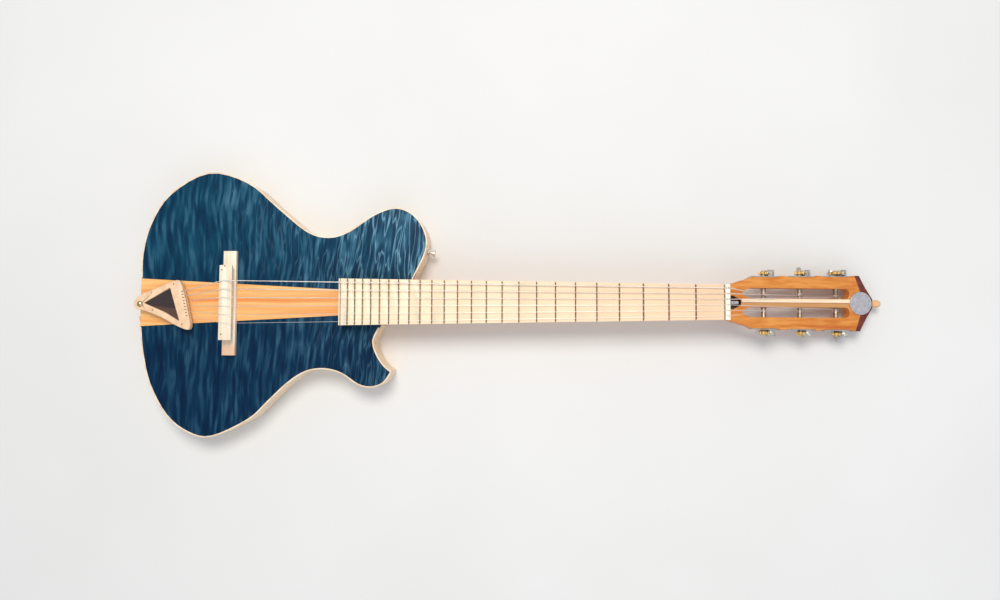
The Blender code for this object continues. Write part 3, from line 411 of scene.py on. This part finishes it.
def copyNode(node, name):  # a merged copy of a CAD node, with its flat faces whole again
    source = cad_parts[node]
    piece = bpy.data.objects.new(name, source.data.copy())
    bpy.context.scene.collection.objects.link(piece)
    piece.data.materials.clear()
    alone(piece)
    bpy.ops.object.mode_set(mode="EDIT")
    bpy.ops.mesh.select_all(action="SELECT")
    bpy.ops.mesh.remove_doubles(threshold=merging["distance"])
    bpy.ops.mesh.dissolve_limited(angle_limit=math.radians(merging["flatTo"]))
    bpy.ops.object.mode_set(mode="OBJECT")
    return piece


def softenRim(piece, up, width, steps=3):  # rounds the edges between flat front and walls
    mesh = piece.data
    walls = {}
    for face in mesh.polygons:
        for key in face.edge_keys:
            walls.setdefault(key, []).append(face.normal.dot(up))
    for item in (*mesh.vertices, *mesh.edges, *mesh.polygons):
        item.select = False
    for edge in mesh.edges:
        slopes = walls.get(edge.key, [])
        edge.select = len(slopes) == 2 and max(slopes) > 0.97 and abs(min(slopes)) < 0.4
    alone(piece)
    bpy.ops.object.mode_set(mode="EDIT")
    bpy.ops.mesh.select_mode(type="EDGE")
    bpy.ops.mesh.bevel(offset=width, segments=steps, clamp_overlap=True)
    bpy.ops.object.mode_set(mode="OBJECT")


def finishPiece(piece, body, materials, replaced=(), angle=32):
    for material in materials:
        piece.data.materials.append(material)
    alone(piece)
    bpy.ops.object.shade_smooth_by_angle(angle=math.radians(angle))
    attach(piece, body)
    if replaced:
        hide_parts(*replaced)


def paintNode(node, material):
    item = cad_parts[node]
    item.data.materials.clear()
    item.data.materials.append(material)


headAngle = math.radians(8.5)
headUp = Vector((math.sin(headAngle), 0, math.cos(headAngle)))
up = Vector((0, 0, 1))


# Body

body = {
    "bindingWidth": 1.7 * mm,
    "stripeHalf": 25.2 * mm,
    "stripeTaper": 0.055,
    "boardEnd": 149.8 * mm,
    "boardHalf": 31 * mm,
    "innerMargin": 2.6 * mm,
}


def isOuter(x, y):  # true on the rim side, false along the stripe and the neck
    half = body["boardHalf"]
    if x < body["boardEnd"]:
        half = body["stripeHalf"] - body["stripeTaper"] * x
    return abs(y) > half + body["innerMargin"]


def makeTop(side, blue, pale):
    piece = copyNode("top_" + side, side + "Top")
    mesh = piece.data
    for item in (*mesh.vertices, *mesh.edges, *mesh.polygons):
        item.select = False
    biggest = max(mesh.polygons, key=lambda face: face.area * face.normal.z)
    biggest.select = True
    alone(piece)
    bpy.ops.object.mode_set(mode="EDIT")
    bpy.ops.mesh.select_mode(type="FACE")
    bpy.ops.mesh.inset(thickness=body["bindingWidth"])
    bpy.ops.object.mode_set(mode="OBJECT")
    middle = max(mesh.polygons, key=lambda face: face.area * face.normal.z)
    for face in mesh.polygons:
        outer = isOuter(face.center.x, face.center.y) and face.index != middle.index
        face.material_index = 1 if outer else 0
    finishPiece(piece, "root", [blue, pale], ["top_" + side])


def makeBody(rim):
    blue = stainedMaple()
    for side in ("bass", "treble"):
        makeTop(side, blue, rim)
        wing = copyNode("body_wing_" + side, side + "Wing")
        finishPiece(wing, "root", [rim], ["body_wing_" + side])


# Neck, fingerboard and nut

neck = {
    "boardTop": 60 * mm,
    "nutEdge": 0.3 * mm,
}


def makeNeck(neckWood):
    beam = copyNode("neck_through", "throughNeck")
    finishPiece(beam, "root", [neckWood], ["neck_through"], 40)
    board = copyNode("fingerboard", "frettedBoard")
    for face in board.data.polygons:
        onFret = face.center.z > neck["boardTop"] + 0.05 * mm
        face.material_index = 1 if onFret else 0
    finishPiece(board, "root", [boardMaple(), fretWire()], ["fingerboard"])
    nut = copyNode("nut", "boneNut")
    softenRim(nut, up, neck["nutEdge"], 2)
    finishPiece(nut, "root", [bone()], ["nut"])


# Headstock

cavity = {
    "start": 654.1 * mm,
    "mouth": 53.4 * mm,
    "end": 672 * mm,
    "half": 9 * mm,
    "depth": 7.5 * mm,
}
headEdges = {
    "head": 0.7 * mm,
    "tip": 0.6 * mm,
    "disc": 0.4 * mm,
    "spline": 0.5 * mm,
}


def makeHeadstock(yewHead, pale):
    head = copyNode("headstock", "slottedHead")
    softenRim(head, headUp, headEdges["head"])
    # Faces inside the truss-rod cavity get a dark painted shade.
    for face in head.data.polygons:
        x, y, z = face.center
        below = headUp.dot((x - cavity["start"], 0, z - cavity["mouth"]))
        near = x < cavity["end"] and abs(y) < cavity["half"]
        face.material_index = 1 if near and -cavity["depth"] < below < -0.2 * mm else 0
    cavityShade = paleWood("cavityPaintedShade", shade(70, 42, 34), shade(40, 24, 22), 2.5)
    finishPiece(head, "root", [yewHead, cavityShade], ["headstock"])
    tip = copyNode("headstock_tip", "redTip")
    softenRim(tip, headUp, headEdges["tip"])
    red = paleWood("redHeartwood", shade(128, 50, 38), shade(84, 28, 24), 3.0, (0.3, 0.3, 1))
    finishPiece(tip, "root", [red], ["headstock_tip"])
    disc = copyNode("headstock_disc", "pearlDisc")
    softenRim(disc, headUp, headEdges["disc"])
    finishPiece(disc, "root", [pearl()], ["headstock_disc"])
    spline = copyNode("headstock_spline", "creamSpline")
    softenRim(spline, headUp, headEdges["spline"])
    finishPiece(spline, "root", [pale], ["headstock_spline"])
    peg = copyNode("tip_peg", "turnedPeg")
    pegWood = paleWood("pegWood", shade(246, 200, 150), shade(222, 166, 116), 2.0)
    finishPiece(peg, "root", [pegWood], ["tip_peg"], 50)


# Strings

strings = {
    "scale": 648 * mm,
    "diameters": [0.45 * mm, 0.5 * mm, 0.6 * mm, 0.8 * mm, 1.0 * mm, 1.25 * mm],
    "bridgeSpacing": 11.2 * mm,
    "bridgeMiddle": -0.5 * mm,
    "nutSpacing": 7.15 * mm,
    "tailSpacing": 6.4 * mm,
    "tailMiddle": -2 * mm,
    "crest": (-1 * mm, 65 * mm),
    "gap": 0.3 * mm,
    "nutFloor": 61.5 * mm,
    "nutBack": 654.1 * mm,
    "tailEdge": (-57.3 * mm, -0.223, 51.4 * mm),
    "holeDepth": 5.4 * mm,
    "headTop": 53.4 * mm,
    "rollers": [50 * mm, 99.4 * mm, 149 * mm],
    "rollerDepth": 7.5 * mm,
    "rollerRadius": 3.175 * mm,
    "turns": 2.6,
    "turnGap": 0.58 * mm,
    "outerStart": 9.6 * mm,
    "innerStart": 8.2 * mm,
    "steps": 28,
}


def stringPoints(index):
    s = strings
    d = s["diameters"][index]
    across = index - 2.5
    tailY = s["tailMiddle"] + across * s["tailSpacing"]
    hole = Vector((s["tailEdge"][0] + s["tailEdge"][1] * tailY, tailY, s["tailEdge"][2]))
    height = s["crest"][1] + s["gap"] + d / 2
    crest = Vector((s["crest"][0], s["bridgeMiddle"] + across * s["bridgeSpacing"], height))
    start = hole - (crest - hole).normalized() * s["holeDepth"]
    y = across * s["nutSpacing"]
    nutZ = s["nutFloor"] + d / 2
    nutBack = Vector((s["nutBack"] - 0.5 * mm, y, nutZ))
    place = Matrix.Translation((s["nutBack"], 0, s["headTop"])) @ Matrix.Rotation(headAngle, 4, "Y")
    row = min(index, 5 - index)
    side = -1 if index < 3 else 1
    radius = s["rollerRadius"] + s["gap"] + d / 2
    local = place.inverted() @ nutBack
    dx = local.x - s["rollers"][row]
    dz = local.z + s["rollerDepth"]
    first = math.atan2(dx, dz) + math.acos(radius / math.hypot(dx, dz))
    begin = s["innerStart"] if index in (2, 3) else s["outerStart"]
    points = [start, crest, Vector((s["scale"], y, nutZ)), nutBack]
    for k in range(int(s["turns"] * s["steps"]) + 1):
        angle = first + 2 * math.pi * k / s["steps"]
        shift = (d + s["turnGap"]) * max(k - 1, 0) / s["steps"]
        x = s["rollers"][row] + radius * math.sin(angle)
        z = -s["rollerDepth"] + radius * math.cos(angle)
        points.append(place @ Vector((x, side * (begin + shift), z)))
    return points


def makeStrings():
    plain = metal("plainSteel", shade(255, 254, 252), shade(240, 236, 232), 0.28, 30)
    wound = woundSteel()
    for index, diameter in enumerate(strings["diameters"]):
        curve = bpy.data.curves.new("stringLine%d" % (index + 1), "CURVE")
        curve.dimensions = "3D"
        curve.bevel_depth = diameter / 2
        curve.bevel_resolution = 3
        curve.use_fill_caps = True
        line = curve.splines.new("POLY")
        points = stringPoints(index)
        line.points.add(len(points) - 1)
        for fretShadeBand, point in zip(line.points, points):
            fretShadeBand.co = (*point, 1)
        piece = bpy.data.objects.new("playedString%d" % (index + 1), curve)
        bpy.context.scene.collection.objects.link(piece)
        alone(piece)
        bpy.ops.object.convert(target="MESH")
        piece = bpy.context.object
        isWound = diameter > 0.7 * mm
        node = "string_%d" % (index + 1)
        finishPiece(piece, "root", [wound if isWound else plain], [node], 60)


# Tuning machines

tuners = {
    "wheelFrom": 36 * mm,    # the gear wheels start this far from the middle
}


def paintTuners():
    nickel = metal("nickel", shade(238, 234, 228), shade(186, 176, 162), 0.2)
    gold = metal("gearBrass", shade(240, 206, 134), shade(186, 146, 84), 0.3, 3)
    roller = metal("rollerSteel", shade(190, 172, 150), shade(142, 124, 104), 0.34, 5)
    for k in range(1, 7):
        plate = copyNode("tuner_plate_%d" % k, "sidePlate%d" % k)
        finishPiece(plate, "root", [nickel], ["tuner_plate_%d" % k])
        gear = copyNode("tuner_gear_%d" % k, "gearRoller%d" % k)
        for face in gear.data.polygons:
            face.material_index = 0 if abs(face.center.y) > tuners["wheelFrom"] else 1
        finishPiece(gear, "tuner_%d_gear" % k, [gold, roller], ["tuner_gear_%d" % k])
        knob = copyNode("tuner_knob_%d" % k, "wormKnob%d" % k)
        finishPiece(knob, "tuner_%d_knob" % k, [nickel], ["tuner_knob_%d" % k], 40)
        paintNode("gear_screw_%d" % k, gold)
    return nickel


# Bridge and tailpiece

bridgeEdge = 0.7 * mm
tailpieceEdge = 1.4 * mm
pins = {
    "radius": 0.75 * mm,
    "height": 0.35 * mm,
    "tailpiece": [(-71.6, 23.5), (-101.8, 12.9), (-99.4, -10.8), (-59.4, -29.6)],
    "tailpieceTop": 55 * mm,
    "saddle": [(0.4, 46.6, 64.6), (-3.7, 41.4, 63.9), (-3.1, -42.8, 64.2)],
    "ticks": 9,
    "tickStart": (-60.2, 13.8),
    "tickEnd": (-53.2, -18.1),
    "tickSize": (2.6 * mm, 0.9 * mm, 0.3 * mm),
}


def addPin(name, place, radius, height, material):  # a short turned pin with a low dome
    bpy.ops.object.select_all(action="DESELECT")
    bpy.ops.mesh.primitive_cylinder_add(vertices=16, radius=radius, depth=height, location=place)
    piece = bpy.context.object
    piece.name = name
    alone(piece)
    bpy.ops.object.transform_apply(location=True, rotation=True, scale=True)
    for face in piece.data.polygons:
        face.select = face.normal.z > 0.9
    bpy.ops.object.mode_set(mode="EDIT")
    bpy.ops.mesh.inset(thickness=radius * 0.35)
    bpy.ops.transform.translate(value=(0, 0, height * 0.3))
    bpy.ops.object.mode_set(mode="OBJECT")
    finishPiece(piece, "root", [material])


def addTick(name, place, material):  # a short dark bar with round ends, painted shade of a string slot
    bpy.ops.object.select_all(action="DESELECT")
    bpy.ops.mesh.primitive_cube_add(size=1, location=place, scale=pins["tickSize"])
    piece = bpy.context.object
    piece.name = name
    alone(piece)
    bpy.ops.object.transform_apply(location=True, rotation=True, scale=True)
    bpy.ops.object.mode_set(mode="EDIT")
    bpy.ops.mesh.select_all(action="SELECT")
    bpy.ops.mesh.bevel(offset=0.1 * mm, segments=2)
    bpy.ops.object.mode_set(mode="OBJECT")
    finishPiece(piece, "root", [material])


def makeBridge(maple):
    for node, name in (("bridge_base", "bridgeFoot"), ("bridge_saddle", "bridgeSaddle")):
        piece = copyNode(node, name)
        softenRim(piece, up, bridgeEdge)
        finishPiece(piece, "root", [maple], [node])
    brass = metal("wheelBrass", shade(206, 176, 120), shade(150, 116, 70), 0.28)
    # The dark pins on the saddle are painted shade: the two over the posts stand for their hex-key
    # holes, and the one at the upper end for the shadow where the saddle meets the base.
    dark = paleWood("saddlePaintedShade", shade(86, 64, 52), shade(54, 40, 34), 1.0)
    for number, place in enumerate(pins["saddle"]):
        centre = [c * mm for c in place]
        addPin("saddlePin%d" % (number + 1), centre, pins["radius"], 3 * pins["height"], dark)
    for side in ("bass", "treble"):
        paintNode("bridge_post_" + side, brass)


def makeTailpiece(maple, gold):
    plate = copyNode("tailpiece_frame", "tailpiecePlate")
    softenRim(plate, up, tailpieceEdge, 4)
    finishPiece(plate, "root", [maple], ["tailpiece_frame"], 40)
    inset = copyNode("tailpiece_panel", "darkPanel")
    finishPiece(inset, "root", [darkInset()], ["tailpiece_panel"])
    paintNode("tailpiece_screw", gold)
    dark = paleWood("darkPin", shade(84, 62, 50), shade(50, 38, 32), 1.0)
    # Nine dark ticks along the tailpiece's front edge are painted shade of the string slots and the
    # shadows between them.
    for number in range(pins["ticks"]):
        part = number / (pins["ticks"] - 1)
        (x0, y0), (x1, y1) = pins["tickStart"], pins["tickEnd"]
        place = ((x0 + (x1 - x0) * part) * mm, (y0 + (y1 - y0) * part) * mm, pins["tailpieceTop"])
        addTick("stringTick%d" % (number + 1), place, dark)
    for number, (x, y) in enumerate(pins["tailpiece"]):
        place = (x * mm, y * mm, pins["tailpieceTop"])
        addPin("tailpiecePin%d" % (number + 1), place, pins["radius"], pins["height"], dark)


# Finishes and making

woods = {
    "rim": (shade(252, 236, 210), shade(230, 194, 156)),
    "neck": (shade(252, 200, 130), shade(240, 166, 95), shade(233, 146, 76)),
    "neckVein": {"middle": 2.6, "half": 3.6, "colour": shade(238, 138, 70)},
    "head": (shade(226, 152, 76), shade(200, 114, 42), shade(182, 82, 32)),
    # painted shadow of the raised spline on the headstock face
    "headSplineShadow": {"start": 671, "end": 815, "colour": shade(200, 152, 102)},
    "spline": (shade(254, 232, 204), shade(242, 210, 172)),
    "bridge": (shade(255, 244, 222), shade(240, 216, 184)),
    # painted shade on the bridge foot's treble end
    "bridgeEndShade": {"from": -49, "length": 12, "colour": shade(224, 176, 140)},
    "tailpiece": (shade(246, 213, 177), shade(230, 188, 148)),
}
metals = {
    "rod": (shade(90, 82, 80), shade(54, 46, 44)),
    "nut": (shade(240, 238, 236), shade(186, 180, 176)),
    "screw": (shade(222, 206, 168), shade(170, 140, 90)),
}

setStage()
print("stage set")
makeBody(paleWood("rimWood", *woods["rim"], 3.5, (0.04, 0.5, 1)))
print("body done")
makeNeck(yew("yewNeck", *woods["neck"], vein=woods["neckVein"]))
print("neck and fingerboard done")
splineWood = paleWood("creamMaple", *woods["spline"], 3)
makeHeadstock(yew("yewHead", *woods["head"], splineShadow=woods["headSplineShadow"]), splineWood)
print("headstock done")
makeStrings()
print("strings done")
nickel = paintTuners()
for part in ("horn_strap_button", "tail_strap_button", "output_jack"):
    paintNode(part, nickel)
paintNode("truss_rod", metal("rodSteel", *metals["rod"], 0.4))
paintNode("truss_nut", metal("nutSteel", *metals["nut"], 0.25, 4))
print("tuners done")
makeBridge(paleWood("bridgeMaple", *woods["bridge"], 4, (1, 0.05, 1), endShade=woods["bridgeEndShade"]))
screwGold = metal("screwGold", *metals["screw"], 0.16)
makeTailpiece(paleWood("tailMaple", *woods["tailpiece"], 3, (0.5, 0.2, 1)), screwGold)
print("bridge and tailpiece done")
